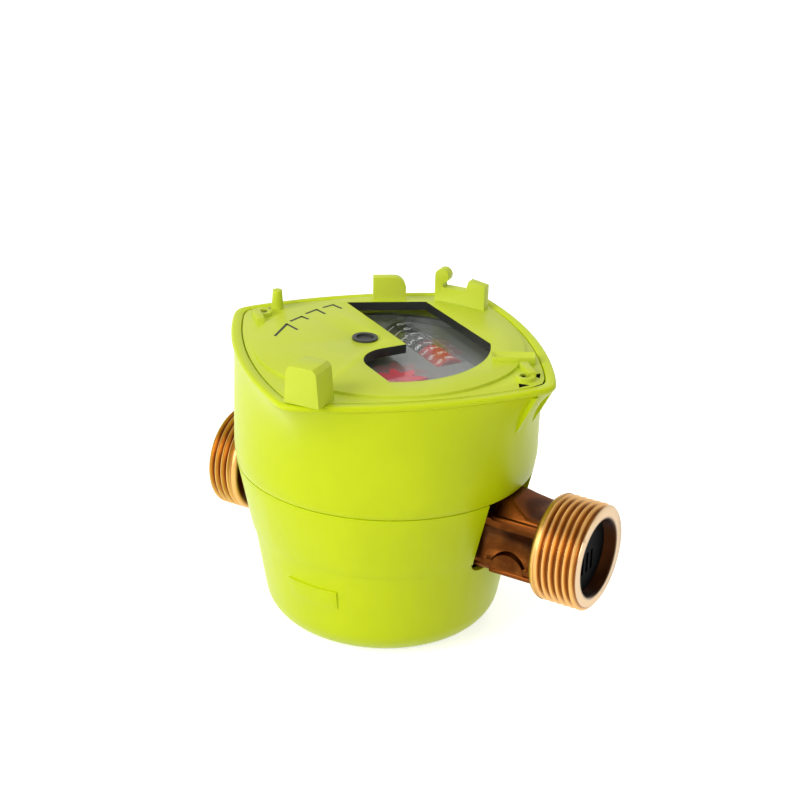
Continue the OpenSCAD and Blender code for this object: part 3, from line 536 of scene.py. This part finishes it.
@dataclass
class BronzeBody:
    """The bronze pot with its two necks and threaded ends."""

    inlet_reach: float = 60 * MM
    outlet_reach: float = 46 * MM
    thread_len: float = 11 * MM
    outlet_thread_len: float = 7.6 * MM
    axis_height: float = 30.5 * MM
    crest_r: float = 13.22 * MM
    depth: float = 1.16 * MM
    pitch: float = 1.814 * MM
    chamfer: float = 0.6 * MM
    mouth_r: float = 9.4 * MM
    mouth_depth: float = 4.5 * MM
    mouth_chamfer: float = 0.5 * MM
    waterway_r: float = 5.5 * MM
    overlap: float = 0.3 * MM
    runout: float = 1.2 * MM
    runout_drop: float = 0.1 * MM
    steps: int = 96
    rib_size: Vec3 = (13 * MM, 1.4 * MM, 1.3 * MM)
    rib_place: tuple[float, float] = (41.3 * MM, 7.55 * MM)
    rib_heights: tuple[float, float] = (-6.9 * MM, 7.0 * MM)
    rib_round: float = 0.35 * MM
    boss_r: tuple[float, float] = (5.3 * MM, 4.5 * MM)
    boss_t: float = 1.6 * MM
    boss_place: Vec3 = (39.6 * MM, 7.3 * MM, -6.4 * MM)
    boss_foot: float = -7.2 * MM
    web_profile: tuple[tuple[float, float], ...] = (
        (34.5, 7.0), (34.5, 11.1), (38.6, 11.1), (40.6, 10.0), (43.8, 8.6), (48.6, 8.1), (48.6, 7.0))
    web_half: float = 7.3 * MM
    web_shoulder: float = 1 * MM
    web_rise: float = 3.1 * MM
    web_taper: float = 0.45
    web_round: float = 0.7 * MM

    def build(self) -> None:
        """Builds the casting and its two ends as one piece."""
        mesh = self.casting()
        self.neck_ribs(mesh)
        self.neck_web(mesh)
        self.threaded_end(mesh, self.inlet_reach, self.thread_len, 0.0)
        self.threaded_end(mesh, self.outlet_reach, self.outlet_thread_len, math.pi)
        Piece("bronze_body", Finish.BRONZE, "brass", stands_for=("meter_body",), crease=40).place(mesh)

    def neck_ribs(self, mesh: bmesh.types.BMesh) -> None:
        """Adds the edge ribs and the half-round boss on both sides of the inlet neck."""
        for side in (-1, 1):
            for height in self.rib_heights:
                rib = bmesh.ops.create_cube(mesh, size=1.0)["verts"]
                bmesh.ops.scale(mesh, vec=self.rib_size, verts=rib)
                place = (self.rib_place[0], side * self.rib_place[1], self.axis_height + height)
                bmesh.ops.translate(mesh, verts=rib, vec=place)
                round_edges(mesh, edges_of(rib), self.rib_round)
            boss = bmesh.ops.create_cone(mesh, cap_ends=True, segments=48, radius1=self.boss_r[0],
                                         radius2=self.boss_r[1], depth=self.boss_t,
                                         matrix=Matrix.Rotation(side * -math.pi / 2, 4, "X"))["verts"]
            along, across, height = self.boss_place
            bmesh.ops.translate(mesh, verts=boss, vec=(along, side * across, self.axis_height + height))
            bmesh.ops.bisect_plane(mesh, geom=[*boss, *edges_of(boss), *faces_of(boss)], dist=1e-7,
                                   plane_co=(0, 0, self.axis_height + self.boss_foot), plane_no=(0, 0, 1),
                                   clear_inner=True)

    def neck_web(self, mesh: bmesh.types.BMesh) -> None:
        """Adds the rounded web that slopes from under the seam down to the inlet's ring."""
        profile = [(x * MM, self.axis_height + z * MM) for x, z in self.web_profile]
        web = add_prism(mesh, profile, self.web_half)
        shoulder = profile[0][1] + self.web_shoulder
        for vert in web:
            vert.co.y *= 1 - self.web_taper * max(0.0, vert.co.z - shoulder) / self.web_rise
        bmesh.ops.recalc_face_normals(mesh, faces=faces_of(web))
        round_edges(mesh, edges_of(web), self.web_round, 3)

    def casting(self) -> bmesh.types.BMesh:
        """Gives the pot and necks, cut off where the threads start."""
        mesh = softened_copy("meter_body", 0.0)
        for side, start in ((1, self.inlet_reach - self.thread_len),
                            (-1, self.outlet_thread_len - self.outlet_reach)):
            cut_plane(mesh, (start, 0, 0), (side, 0, 0), clear=True)
        return mesh

    def groove(self) -> list[tuple[float, float]]:
        """Gives one thread's profile as shares of the pitch and of the depth, crest first."""
        return [(0.0, 1.0), (0.11, 0.985), (0.19, 0.86), (0.31, 0.5), (0.43, 0.14), (0.51, 0.015),
                (0.62, 0.0), (0.69, 0.14), (0.81, 0.5), (0.93, 0.86)]

    def threaded_end(self, target: bmesh.types.BMesh, reach: float, length: float, turn: float) -> None:
        """Adds one threaded pipe end with its mouth.

        Args:
            target: The mesh to add to.
            reach: The end face's distance from the register axis.
            length: The thread's length.
            turn: The end's turn about the upright axis.
        """
        mesh = bmesh.new()
        start = reach - length
        back = start - self.overlap
        root = self.crest_r - self.depth
        row = []
        for tooth in range(int(length / self.pitch) + 4):
            for share, rise in self.groove():
                along = start + (tooth - 2 + share) * self.pitch
                row.append(mesh.verts.new((along, 0, root + rise * self.depth)))
        edges = [mesh.edges.new(pair) for pair in zip(row, row[1:])]
        bmesh.ops.spin(mesh, geom=[*row, *edges], cent=(0, 0, 0), axis=(1, 0, 0), angle=2 * math.pi,
                       dvec=(self.pitch / self.steps, 0, 0), steps=self.steps, use_merge=False)
        bmesh.ops.remove_doubles(mesh, verts=mesh.verts, dist=1e-6)
        for level, way in ((back, -1), (reach, 1)):
            cut_plane(mesh, (level, 0, 0), (way, 0, 0), clear=True)
        for vert in mesh.verts:
            spare = max(0.0, vert.co.x - (reach - self.chamfer))
            short = max(0.0, start + self.runout - vert.co.x)
            out = math.hypot(vert.co.y, vert.co.z)
            new = min(out, self.crest_r - spare)
            new += (self.crest_r - self.runout_drop - new) * min(1.0, short / self.runout)
            vert.co.y *= new / out
            vert.co.z *= new / out
        floor = reach - self.mouth_depth
        self.close_loop(mesh, reach, [
            (reach, self.mouth_r + self.mouth_chamfer), (reach - self.mouth_chamfer, self.mouth_r),
            (floor, self.mouth_r), (floor, self.waterway_r), (back, self.waterway_r)])
        bmesh.ops.bridge_loops(mesh, edges=self.open_edges(mesh, back))
        bmesh.ops.remove_doubles(mesh, verts=mesh.verts, dist=1e-6)
        bmesh.ops.recalc_face_normals(mesh, faces=mesh.faces)
        place = Matrix.Rotation(turn, 4, "Z") @ Matrix.Translation((0, 0, self.axis_height))
        bmesh.ops.transform(mesh, matrix=place, verts=mesh.verts)
        part = bpy.data.meshes.new("threaded_end")
        mesh.to_mesh(part)
        mesh.free()
        target.from_mesh(part)
        bpy.data.meshes.remove(part)

    def open_edges(self, mesh: bmesh.types.BMesh, level: float) -> list[bmesh.types.BMEdge]:
        """Gives the open edges at a place along the pipe."""
        return [edge for edge in mesh.edges if edge.is_boundary
                and all(abs(vert.co.x - level) < 1e-6 for vert in edge.verts)]

    def close_loop(self, mesh: bmesh.types.BMesh, level: float, route: list[tuple[float, float]]) -> None:
        """Extrudes the open loop at a level of the pipe along a route of (place, radius), evenly spaced.

        Args:
            mesh: The end's mesh, with the pipe along X.
            level: The open loop's place along the pipe.
            route: The places and radii that the loop goes to in turn.
        """
        near = {vert for edge in self.open_edges(mesh, level) for vert in edge.verts}
        bmesh.ops.remove_doubles(mesh, verts=list(near), dist=0.08 * MM)
        rim = self.open_edges(mesh, level)
        for along, radius in route:
            grown = bmesh.ops.extrude_edge_only(mesh, edges=rim)["geom"]
            rim = [item for item in grown if isinstance(item, bmesh.types.BMEdge)]
            ring = sorted({vert for edge in rim for vert in edge.verts},
                          key=lambda vert: math.atan2(vert.co.z, vert.co.y))
            first = math.atan2(ring[0].co.z, ring[0].co.y)
            for place, vert in enumerate(ring):
                angle = first + 2 * math.pi * place / len(ring)
                vert.co = (along, radius * math.cos(angle), radius * math.sin(angle))


@dataclass(frozen=True)
class Level:
    """One ring of the upper moulding: a share of the way from a circle to a bowed square."""

    height: float
    round_r: float
    half: float
    share: float


@dataclass
class Shroud:
    """The two lime mouldings round the pot."""

    seam_r: float = 37.3 * MM
    wall_r: float = 37.9 * MM
    seam_z: float = 42 * MM
    rim_z: float = 69.9 * MM
    rim_top: float = 71.5 * MM
    half: float = 37.2 * MM
    side_bow: float = 110 * MM
    corner_blend: float = 40
    proud: float = 0.4 * MM
    wall: float = 2.2 * MM
    ledge: float = 2.4 * MM
    ledge_h: float = 2 * MM
    plate_z: float = 69.8 * MM
    axis_height: float = 30.5 * MM
    notch_r: float = 13.52 * MM
    gusset_t: float = 1.4 * MM
    gusset_h: float = 11.5 * MM
    gusset_swing: float = 6.0
    sides: int = 192
    rings: int = 26

    def build(self) -> None:
        """Builds the lower and the upper moulding."""
        Piece("lower_moulding", Finish.LIME, "lime_plastic", stands_for=("lower_shroud",),
              crease=28).place(softened_copy("lower_shroud", 0.3 * MM, 40, 3))
        Piece("upper_moulding", Finish.LIME, "lime_plastic", stands_for=("upper_shroud",),
              crease=50).place(self.upper())

    def side_reach(self, half: float, turn: float) -> float:
        """Gives the reach of one bowed side at an angle from its middle."""
        centre = half - self.side_bow
        return centre * math.cos(turn) + math.sqrt(self.side_bow ** 2 - (centre * math.sin(turn)) ** 2)

    def outline(self, angle: float, level: Level) -> tuple[float, float]:
        """Gives a point of an outline between a circle and a bowed square with its corners on the axes."""
        turn = abs(angle % (math.pi / 2) - math.pi / 4)
        near, far = self.side_reach(level.half, turn), self.side_reach(level.half, math.pi / 2 - turn)
        square = near * (1 + (near / far) ** self.corner_blend) ** (-1 / self.corner_blend)
        reach = level.round_r + (square - level.round_r) * level.share
        return reach * math.cos(angle), reach * math.sin(angle)

    def wall_level(self, height: float, inset: float) -> Level:
        """Gives a ring of the wall, which turns square late.

        Args:
            height: The ring's height.
            inset: How far the ring lies inside the wall's outer face.

        Returns:
            The ring.
        """
        rise = height - self.seam_z
        step = min(1.0, rise / (4 * MM))
        return Level(height, self.seam_r + (self.wall_r - self.seam_r) * step - inset, self.half - inset,
                     (rise / (self.rim_z - self.seam_z)) ** 4)

    def levels(self) -> list[Level]:
        """Gives the rings of the upper moulding, up the outside and down the inside."""
        tall = self.rim_z - self.seam_z
        heights = [self.seam_z + tall * (1 - (1 - i / self.rings) ** 1.6) for i in range(self.rings + 1)]
        groove = [(0.0, 0.45), (0.15, 0.2), (0.45, 0.0)]
        outer = [self.wall_level(self.seam_z + rise * MM, inset * MM) for rise, inset in groove]
        outer += [self.wall_level(height, 0.0) for height in heights[1:]]
        full = self.half + self.proud
        lip, edge = 0.3 * MM, 0.7 * MM
        rim = []
        for turn in (0, 30, 60, 90):
            rim.append((self.rim_z + 0.2 * MM + lip * (1 - math.cos(math.radians(turn))),
                        full - lip + lip * math.sin(math.radians(turn))))
        for turn in range(0, 91, 15):
            rim.append((self.rim_top - edge + edge * math.sin(math.radians(turn)),
                        full - edge + edge * math.cos(math.radians(turn))))
        inner = self.half - self.wall
        rim += [(self.rim_top, inner + 0.2 * MM), (self.rim_top - 0.2 * MM, inner), (self.plate_z, inner),
                (self.plate_z, inner - self.ledge), (self.plate_z - self.ledge_h, inner - self.ledge)]
        deep = self.plate_z - self.ledge_h - 1.8 * MM - self.seam_z
        down = [self.wall_level(self.seam_z + deep * i / self.rings, self.wall)
                for i in range(self.rings, -1, -1)]
        return [*outer, *(Level(height, 0.0, half, 1.0) for height, half in rim), *down]

    def upper(self) -> bmesh.types.BMesh:
        """Gives the upper moulding, which goes from a round seam to a square rim."""
        mesh = bmesh.new()
        levels = self.levels()
        first = bmesh.ops.create_circle(mesh, segments=self.sides, radius=self.seam_r)["verts"]
        angles = {vert: math.atan2(vert.co.y, vert.co.x) for vert in first}
        ring = list({edge for vert in first for edge in vert.link_edges})
        start = ring
        self.shape_ring(angles, levels[0])
        for level in levels[1:]:
            grown = bmesh.ops.extrude_edge_only(mesh, edges=ring)["geom"]
            ring = [item for item in grown if isinstance(item, bmesh.types.BMEdge)]
            angles = {vert: math.atan2(vert.co.y, vert.co.x) for edge in ring for vert in edge.verts}
            self.shape_ring(angles, level)
        bmesh.ops.bridge_loops(mesh, edges=[*start, *ring])
        for vert in mesh.verts:
            if vert.co.x < 0 and abs(vert.co.y) < self.notch_r:
                arch = self.axis_height + math.sqrt(self.notch_r ** 2 - vert.co.y ** 2)
                vert.co.z = max(vert.co.z, arch)
        bmesh.ops.remove_doubles(mesh, verts=mesh.verts, dist=1e-6)
        bmesh.ops.recalc_face_normals(mesh, faces=mesh.faces)
        self.gussets(mesh)
        return mesh

    def shape_ring(self, angles: dict[bmesh.types.BMVert, float], level: Level) -> None:
        """Moves a ring's points to its height and outline."""
        for vert, angle in angles.items():
            vert.co = (*self.outline(angle, level), level.height)

    def gussets(self, mesh: bmesh.types.BMesh) -> None:
        """Adds the two pairs of thin ribs under the rim's seal corners."""
        tip = self.side_reach(self.half - self.wall, math.pi / 4) + 0.3 * MM
        top = self.plate_z - 0.3 * MM
        foot = top - self.gusset_h
        root = self.wall_r - 1 * MM
        profile = [(root, top), (tip, top), (tip, top - 0.5 * MM), (self.wall_r + 0.2 * MM, foot),
                   (root, foot)]
        for side in (0, math.pi):
            for swing in (-self.gusset_swing, self.gusset_swing):
                rib = add_prism(mesh, profile, self.gusset_t / 2)
                bmesh.ops.rotate(mesh, cent=(0, 0, 0), verts=rib,
                                 matrix=Matrix.Rotation(side + math.radians(swing), 3, "Z"))
                bmesh.ops.recalc_face_normals(mesh, faces=faces_of(rib))


@dataclass
class TopPlate:
    """The lime plate over the register with the lid's fittings and its plain printed marks."""

    top: float = 72.1 * MM
    plate_top: float = 71.42 * MM
    plate_half: float = 34.7 * MM
    side_bow: float = 110 * MM
    edge_skip: float = 0.4 * MM
    window_r: float = 32.9 * MM
    print_t: float = 0.03 * MM
    stroke: float = 0.7 * MM
    marks: tuple[tuple[tuple[float, float], ...], ...] = (
        ((-25.5, -11.9), (-27.7, -3.7), (-23.6, -5.3)), ((-28.1, -1.3), (-27.7, 2.9), (-25.5, 2.4)),
        ((-27.9, 5.5), (-27.4, 9.3), (-24.2, 8.1)), ((-26.8, 11.8), (-25.9, 14.7), (-22.9, 13.8)))
    clip_place: tuple[float, float] = (30.2, 8.2)
    clip_turn: float = 32.0
    clip_size: Vec3 = (10.4, 4.0, 2.1)
    clip_wall: float = 1.1 * MM
    clip_sunk: float = 0.8 * MM
    clip_round: float = 0.25 * MM

    def build(self) -> None:
        """Builds the plate, its printed corner marks and the seal clip."""
        plate = Piece("register_plate", Finish.LIME_PLATE, "lime_plastic", stands_for=("top_plate",),
                      crease=32).place(softened_copy("top_plate", 0.25 * MM, 35, 2))
        self.paint_window_shade(plate)
        Piece("plate_marks", Finish.PRINT, "lime_plastic").place(self.brackets())
        Piece("seal_clip", Finish.LIME_PLATE, "lime_plastic", crease=40).place(self.seal_clip())

    def paint_window_shade(self, plate: bpy.types.Object) -> None:
        """Paints the upright edges of the window and of the slots dark: painted shade in the slots and on the
        window's walls, which also gives the window its dark border.
        """
        plate.data.materials.append(Finish.BORDER.get())
        for face in plate.data.polygons:
            x, y, z = face.center
            along, across = (abs(x) + abs(y)) / math.sqrt(2), (abs(x) - abs(y)) / math.sqrt(2)
            inside = along + across ** 2 / (2 * self.side_bow) < self.plate_half - self.edge_skip
            sunk = (z < self.plate_top and inside) or (math.hypot(x, y) < self.window_r and z < self.top)
            # Painted shade: upright faces sunk below the plate's top, or inside the window, take the dark
            # finish.
            if abs(face.normal.z) < 0.3 and sunk:
                face.material_index = 1

    def seal_clip(self) -> bmesh.types.BMesh:
        """Gives the raised clip between the window and the right-hand seal corner, with its slot."""
        mesh = bmesh.new()
        made = bmesh.ops.create_cube(mesh, size=1.0)["verts"]
        bmesh.ops.scale(mesh, vec=[size * MM for size in self.clip_size], verts=made)
        cap = max(mesh.faces, key=lambda face: face.calc_center_median().z)
        bmesh.ops.inset_region(mesh, faces=[cap], thickness=self.clip_wall)
        bmesh.ops.translate(mesh, vec=(0, 0, -self.clip_sunk), verts=cap.verts)
        sharp = [edge for edge in mesh.edges if edge.calc_face_angle(0.0) > 1.0]
        round_edges(mesh, sharp, self.clip_round)
        bmesh.ops.rotate(mesh, cent=(0, 0, 0), verts=mesh.verts,
                         matrix=Matrix.Rotation(math.radians(self.clip_turn), 3, "Z"))
        height = self.top - self.clip_sunk + self.clip_size[2] * MM / 2
        bmesh.ops.translate(mesh, verts=mesh.verts,
                            vec=(self.clip_place[0] * MM, self.clip_place[1] * MM, height))
        return mesh

    def brackets(self) -> bmesh.types.BMesh:
        """Gives the row of corner brackets printed on the plate."""
        mesh = bmesh.new()
        for mark in self.marks:
            for first, second in zip(mark, mark[1:]):
                start, run = Vector(first) * MM, (Vector(second) - Vector(first)) * MM
                made = bmesh.ops.create_cube(mesh, size=1.0)["verts"]
                bmesh.ops.scale(mesh, vec=(run.length + self.stroke, self.stroke, self.print_t), verts=made)
                bmesh.ops.rotate(mesh, cent=(0, 0, 0), verts=made,
                                 matrix=Matrix.Rotation(math.atan2(run.y, run.x), 3, "Z"))
                bmesh.ops.translate(mesh, vec=(*(start + run / 2), self.top), verts=made)
        return mesh


@dataclass
class Register:
    """The figures on the drums, and the flow star."""

    turn: float = math.radians(-30.7)
    row: tuple[float, float] = (-8.6 * MM, 14.6 * MM)
    pitch: float = 3.6 * MM
    drum_r: float = 4.6 * MM
    axis_z: float = 62.8 * MM
    figure_h: float = 2.9 * MM
    reading: tuple[int, ...] = (0, 0, 1, 4, 7, 2, 5, 8)
    red_from: int = 6
    star_r: float = 7.2 * MM
    star_teeth: int = 8
    star_notch: float = 0.44

    def build(self) -> None:
        """Builds the figures on every drum and the star."""
        for index, shown in enumerate(self.reading, start=1):
            slot = "red_drum" if index >= self.red_from else "black_drum"
            Piece(f"drum_{index}_figures", Finish.FIGURES, slot,
                  body=f"drum_body_{index}").place(self.figures(index, shown))
        Piece("star_wheel", Finish.STAR, "star_red", body="star", stands_for=("flow_star",),
              crease=30).place(self.star())

    def star(self) -> bmesh.types.BMesh:
        """Gives the flow star: a toothed wheel with a raised hub on the star arbor."""
        low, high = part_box("flow_star")
        middle = [(low[axis] + high[axis]) / 2 for axis in (0, 1)]
        mesh = bmesh.new()
        made = bmesh.ops.create_circle(mesh, cap_ends=True, segments=4 * self.star_teeth,
                                       radius=self.star_r)["verts"]
        for vert in made:
            turn = math.atan2(vert.co.y, vert.co.x) * self.star_teeth
            vert.co *= 1 - self.star_notch * (1 - math.cos(turn)) / 2
        grown = bmesh.ops.extrude_face_region(mesh, geom=list(mesh.faces))["geom"]
        tops = [item for item in grown if isinstance(item, bmesh.types.BMVert)]
        bmesh.ops.translate(mesh, verts=tops, vec=(0, 0, high[2] - low[2]))
        cap = [face for face in mesh.faces if face.calc_center_median().z > (high[2] - low[2]) * 0.9]
        bmesh.ops.inset_region(mesh, faces=cap, thickness=0.9 * MM, depth=0.15 * MM)
        bmesh.ops.recalc_face_normals(mesh, faces=mesh.faces)
        bmesh.ops.translate(mesh, verts=mesh.verts, vec=(*middle, low[2]))
        return mesh

    def figures(self, index: int, shown: int) -> bmesh.types.BMesh:
        """Gives the ten figures round one drum.

        Args:
            index: The drum's number from the left.
            shown: The figure that stands at the top at rest.

        Returns:
            The figures as one mesh.
        """
        along = Vector((math.cos(self.turn), math.sin(self.turn), 0))
        upward = Vector((-math.sin(self.turn), math.cos(self.turn), 0))
        middle = along * (self.row[0] + (index - 4.5) * self.pitch) + upward * self.row[1]
        middle.z = self.axis_z
        mesh = bmesh.new()
        for value in range(10):
            part = self.flat_figure(str(value), self.figure_h)
            back = math.radians(36 * (value - shown))
            for vert in part.verts:
                angle = vert.co.y / self.drum_r - back
                spoke = Vector((0, 0, math.cos(angle))) + upward * math.sin(angle)
                vert.co = middle + along * vert.co.x + spoke * (self.drum_r + vert.co.z)
            data = bpy.data.meshes.new("figure")
            part.to_mesh(data)
            part.free()
            mesh.from_mesh(data)
            bpy.data.meshes.remove(data)
        return mesh

    def flat_figure(self, words: str, size: float) -> bmesh.types.BMesh:
        """Gives a figure lying flat, centred, thin and cut into bands so that it can bend.

        Args:
            words: The figure.
            size: The type size in metres.

        Returns:
            The figure as a mesh.
        """
        curve = bpy.data.curves.new("figure", "FONT")
        curve.body = words
        curve.size = size
        curve.align_x, curve.align_y = "CENTER", "CENTER"
        curve.resolution_u = 3
        curve.extrude = 0.02 * MM
        text = bpy.data.objects.new("figure", curve)
        bpy.context.scene.collection.objects.link(text)
        data = bpy.data.meshes.new_from_object(text.evaluated_get(bpy.context.evaluated_depsgraph_get()))
        bpy.data.objects.remove(text)
        bpy.data.curves.remove(curve)
        mesh = bmesh.new()
        mesh.from_mesh(data)
        bpy.data.meshes.remove(data)
        bmesh.ops.remove_doubles(mesh, verts=mesh.verts, dist=1e-7)
        for band in range(-3, 4):
            cut_plane(mesh, (0, band * size / 9, 0), (0, 1, 0))
        return mesh


@dataclass
class CarriedNodes:
    """The CAD solids that keep their shape and get a finish."""

    finishes: dict[str, Finish] = field(default_factory=lambda: {
        "inlet_strainer": Finish.STRAINER, "chamber_cup": Finish.CHAMBER, "chamber_seal": Finish.RUBBER,
        "division_plate": Finish.STEEL, "rotary_piston": Finish.PISTON, "chamber_cover": Finish.CHAMBER,
        "drive_dog": Finish.PISTON, "drive_magnet": Finish.MAGNET, "plate_seal": Finish.RUBBER,
        "pressure_plate": Finish.STEEL, "locking_ring": Finish.WORKS, "register_can": Finish.CAN,
        "follower_magnet": Finish.MAGNET, "input_arbor": Finish.WORKS, "gear_plate": Finish.WORKS,
        "star_arbor": Finish.WORKS, "drum_frame": Finish.WORKS, "drum_axle": Finish.STEEL,
        "dial_plate": Finish.DIAL, "register_screws": Finish.STEEL,
        "window_pane": Finish.PANE, "port_plug": Finish.PLUG})
    black_drums: int = 5
    drums: int = 8

    def dress(self) -> None:
        """Gives every solid that stays its finish."""
        drums = {f"drum_{i}": Finish.BLACK_DRUM if i <= self.black_drums else Finish.RED_DRUM
                 for i in range(1, self.drums + 1)}
        for node, finish in {**self.finishes, **drums}.items():
            solid = NODES[node]
            if not solid.material_slots:
                solid.data.materials.append(finish.get())
            for place in solid.material_slots:
                place.material = finish.get()
            LOG.info("%s: %s", node, finish.value.name)


@dataclass
class Studio:
    """The pale floor, the soft lights and the camera."""

    eye: tuple[float, float, float] = (0.21767, -0.36300, 0.23704)
    right: tuple[float, float, float] = (0.85119, 0.52429, 0.02438)
    up: tuple[float, float, float] = (-0.24872, 0.36203, 0.89837)
    back: tuple[float, float, float] = (0.46218, -0.77075, 0.43855)
    focal_px: float = 1853.8
    centre_px: tuple[float, float] = (384.7, 495.7)
    image_px: float = 800.0
    sensor: float = 36.0
    lamps: tuple[tuple[str, Vec3, float, float], ...] = (
        ("key", (-0.34, -0.88, 0.55), 0.6, 7.1), ("fill", (0.85, -0.45, 0.5), 0.8, 1.1),
        ("overhead", (-0.1, 0.2, 1.0), 0.9, 3.0))
    aim: Vec3 = (0, 0, 0.04)
    floor_glow: float = 0.68
    surround: float = 0.36
    dome_fade: float = 0.7
    dome_rise: tuple[float, float] = (0.2, 0.75)

    def build(self) -> None:
        """Sets up the floor, the world, the lights and the camera."""
        scene = bpy.context.scene
        scene.view_settings.view_transform = "Standard"
        self.floor()
        self.world(scene)
        for name, place, size, power in self.lamps:
            self.lamp(name, place, size, power)
        self.camera(scene)

    def floor(self) -> None:
        """Lays a wide pale floor that keeps the shadow and looks white to the camera."""
        mesh = bmesh.new()
        bmesh.ops.create_grid(mesh, x_segments=4, y_segments=4, size=6.0)
        data = bpy.data.meshes.new("floor")
        mesh.to_mesh(data)
        mesh.free()
        material, tree, skin = new_material("pale_floor")
        skin.inputs["Base Color"].default_value = (0.85, 0.85, 0.85, 1.0)
        skin.inputs["Roughness"].default_value = 0.9
        skin.inputs["Specular IOR Level"].default_value = 0.1
        skin.inputs["Emission Color"].default_value = (1.0, 1.0, 1.0, 1.0)
        tree.link(self.seen_ray(tree, self.floor_glow), skin.inputs["Emission Strength"])
        data.materials.append(material)
        floor = bpy.data.objects.new("floor", data)
        bpy.context.scene.collection.objects.link(floor)

    def seen_ray(self, tree: NodeTree, strength: float) -> bpy.types.NodeSocket:
        """Gives a strength for rays from the camera, gloss and glass, and none for light on the object."""
        rays = tree.add("LightPath")
        first = tree.add("Math", operation="MAXIMUM")
        second = tree.add("Math", operation="MAXIMUM")
        tree.link(rays.outputs["Is Camera Ray"], first.inputs[0])
        tree.link(rays.outputs["Is Glossy Ray"], first.inputs[1])
        tree.link(first.outputs[0], second.inputs[0])
        tree.link(rays.outputs["Is Transmission Ray"], second.inputs[1])
        scaled = tree.add("Math", operation="MULTIPLY")
        scaled.inputs[1].default_value = strength
        tree.link(second.outputs[0], scaled.inputs[0])
        return scaled.outputs[0]

    def world(self, scene: bpy.types.Scene) -> None:
        """Gives a white surround, darker overhead, that lights the object only softly."""
        world = bpy.data.worlds.new("surround")
        world.use_nodes = True
        tree = NodeTree(world.node_tree)
        ground = world.node_tree.nodes["Background"]
        ground.inputs["Color"].default_value = (1.0, 1.0, 1.0, 1.0)
        place = tree.add("TexCoord")
        split = tree.add("SeparateXYZ")
        tree.link(place.outputs["Generated"], split.inputs[0])
        dome = tree.add("Math", operation="MULTIPLY_ADD")
        dome.inputs[1].default_value = -self.dome_fade
        dome.inputs[2].default_value = 1.0
        tree.link(tree.ramp(split.outputs["Z"], *self.dome_rise), dome.inputs[0])
        seen = tree.add("Math", operation="MULTIPLY")
        tree.link(self.seen_ray(tree, 1.0), seen.inputs[0])
        tree.link(dome.outputs[0], seen.inputs[1])
        rest = tree.add("Math", operation="MAXIMUM")
        rest.inputs[1].default_value = self.surround
        tree.link(seen.outputs[0], rest.inputs[0])
        tree.link(rest.outputs[0], ground.inputs["Strength"])
        scene.world = world

    def lamp(self, name: str, place: tuple[float, float, float], size: float, power: float) -> None:
        """Adds a soft square lamp aimed at the meter."""
        data = bpy.data.lights.new(name, "AREA")
        data.shape = "SQUARE"
        data.size = size
        data.energy = power
        lamp = bpy.data.objects.new(name, data)
        lamp.location = place
        aim = Vector(self.aim) - Vector(place)
        lamp.rotation_euler = aim.to_track_quat("-Z", "Y").to_euler()
        bpy.context.scene.collection.objects.link(lamp)

    def camera(self, scene: bpy.types.Scene) -> None:
        """Sets the camera at the photograph's angle."""
        data = bpy.data.cameras.new("camera")
        data.sensor_width = self.sensor
        data.lens = self.focal_px * self.sensor / self.image_px
        data.clip_start = 0.01
        data.clip_end = 50
        half = self.image_px / 2
        pitch = math.atan((self.centre_px[1] - half) / self.focal_px)
        yaw = math.atan((half - self.centre_px[0]) / self.focal_px)
        basis = Matrix((self.right, self.up, self.back)).transposed()
        turned = basis @ Matrix.Rotation(pitch, 3, "X") @ Matrix.Rotation(-yaw, 3, "Y")
        camera = bpy.data.objects.new("camera", data)
        camera.matrix_world = Matrix.Translation(self.eye) @ turned.to_4x4()
        scene.collection.objects.link(camera)
        scene.camera = camera


def main() -> None:
    """Builds the meter's pieces in order and sets the studio."""
    logging.basicConfig(level=logging.INFO, format="%(name)s %(message)s")
    CarriedNodes().dress()
    BronzeBody().build()
    Shroud().build()
    TopPlate().build()
    Register().build()
    Studio().build()


if __name__ == "__main__":
    main()
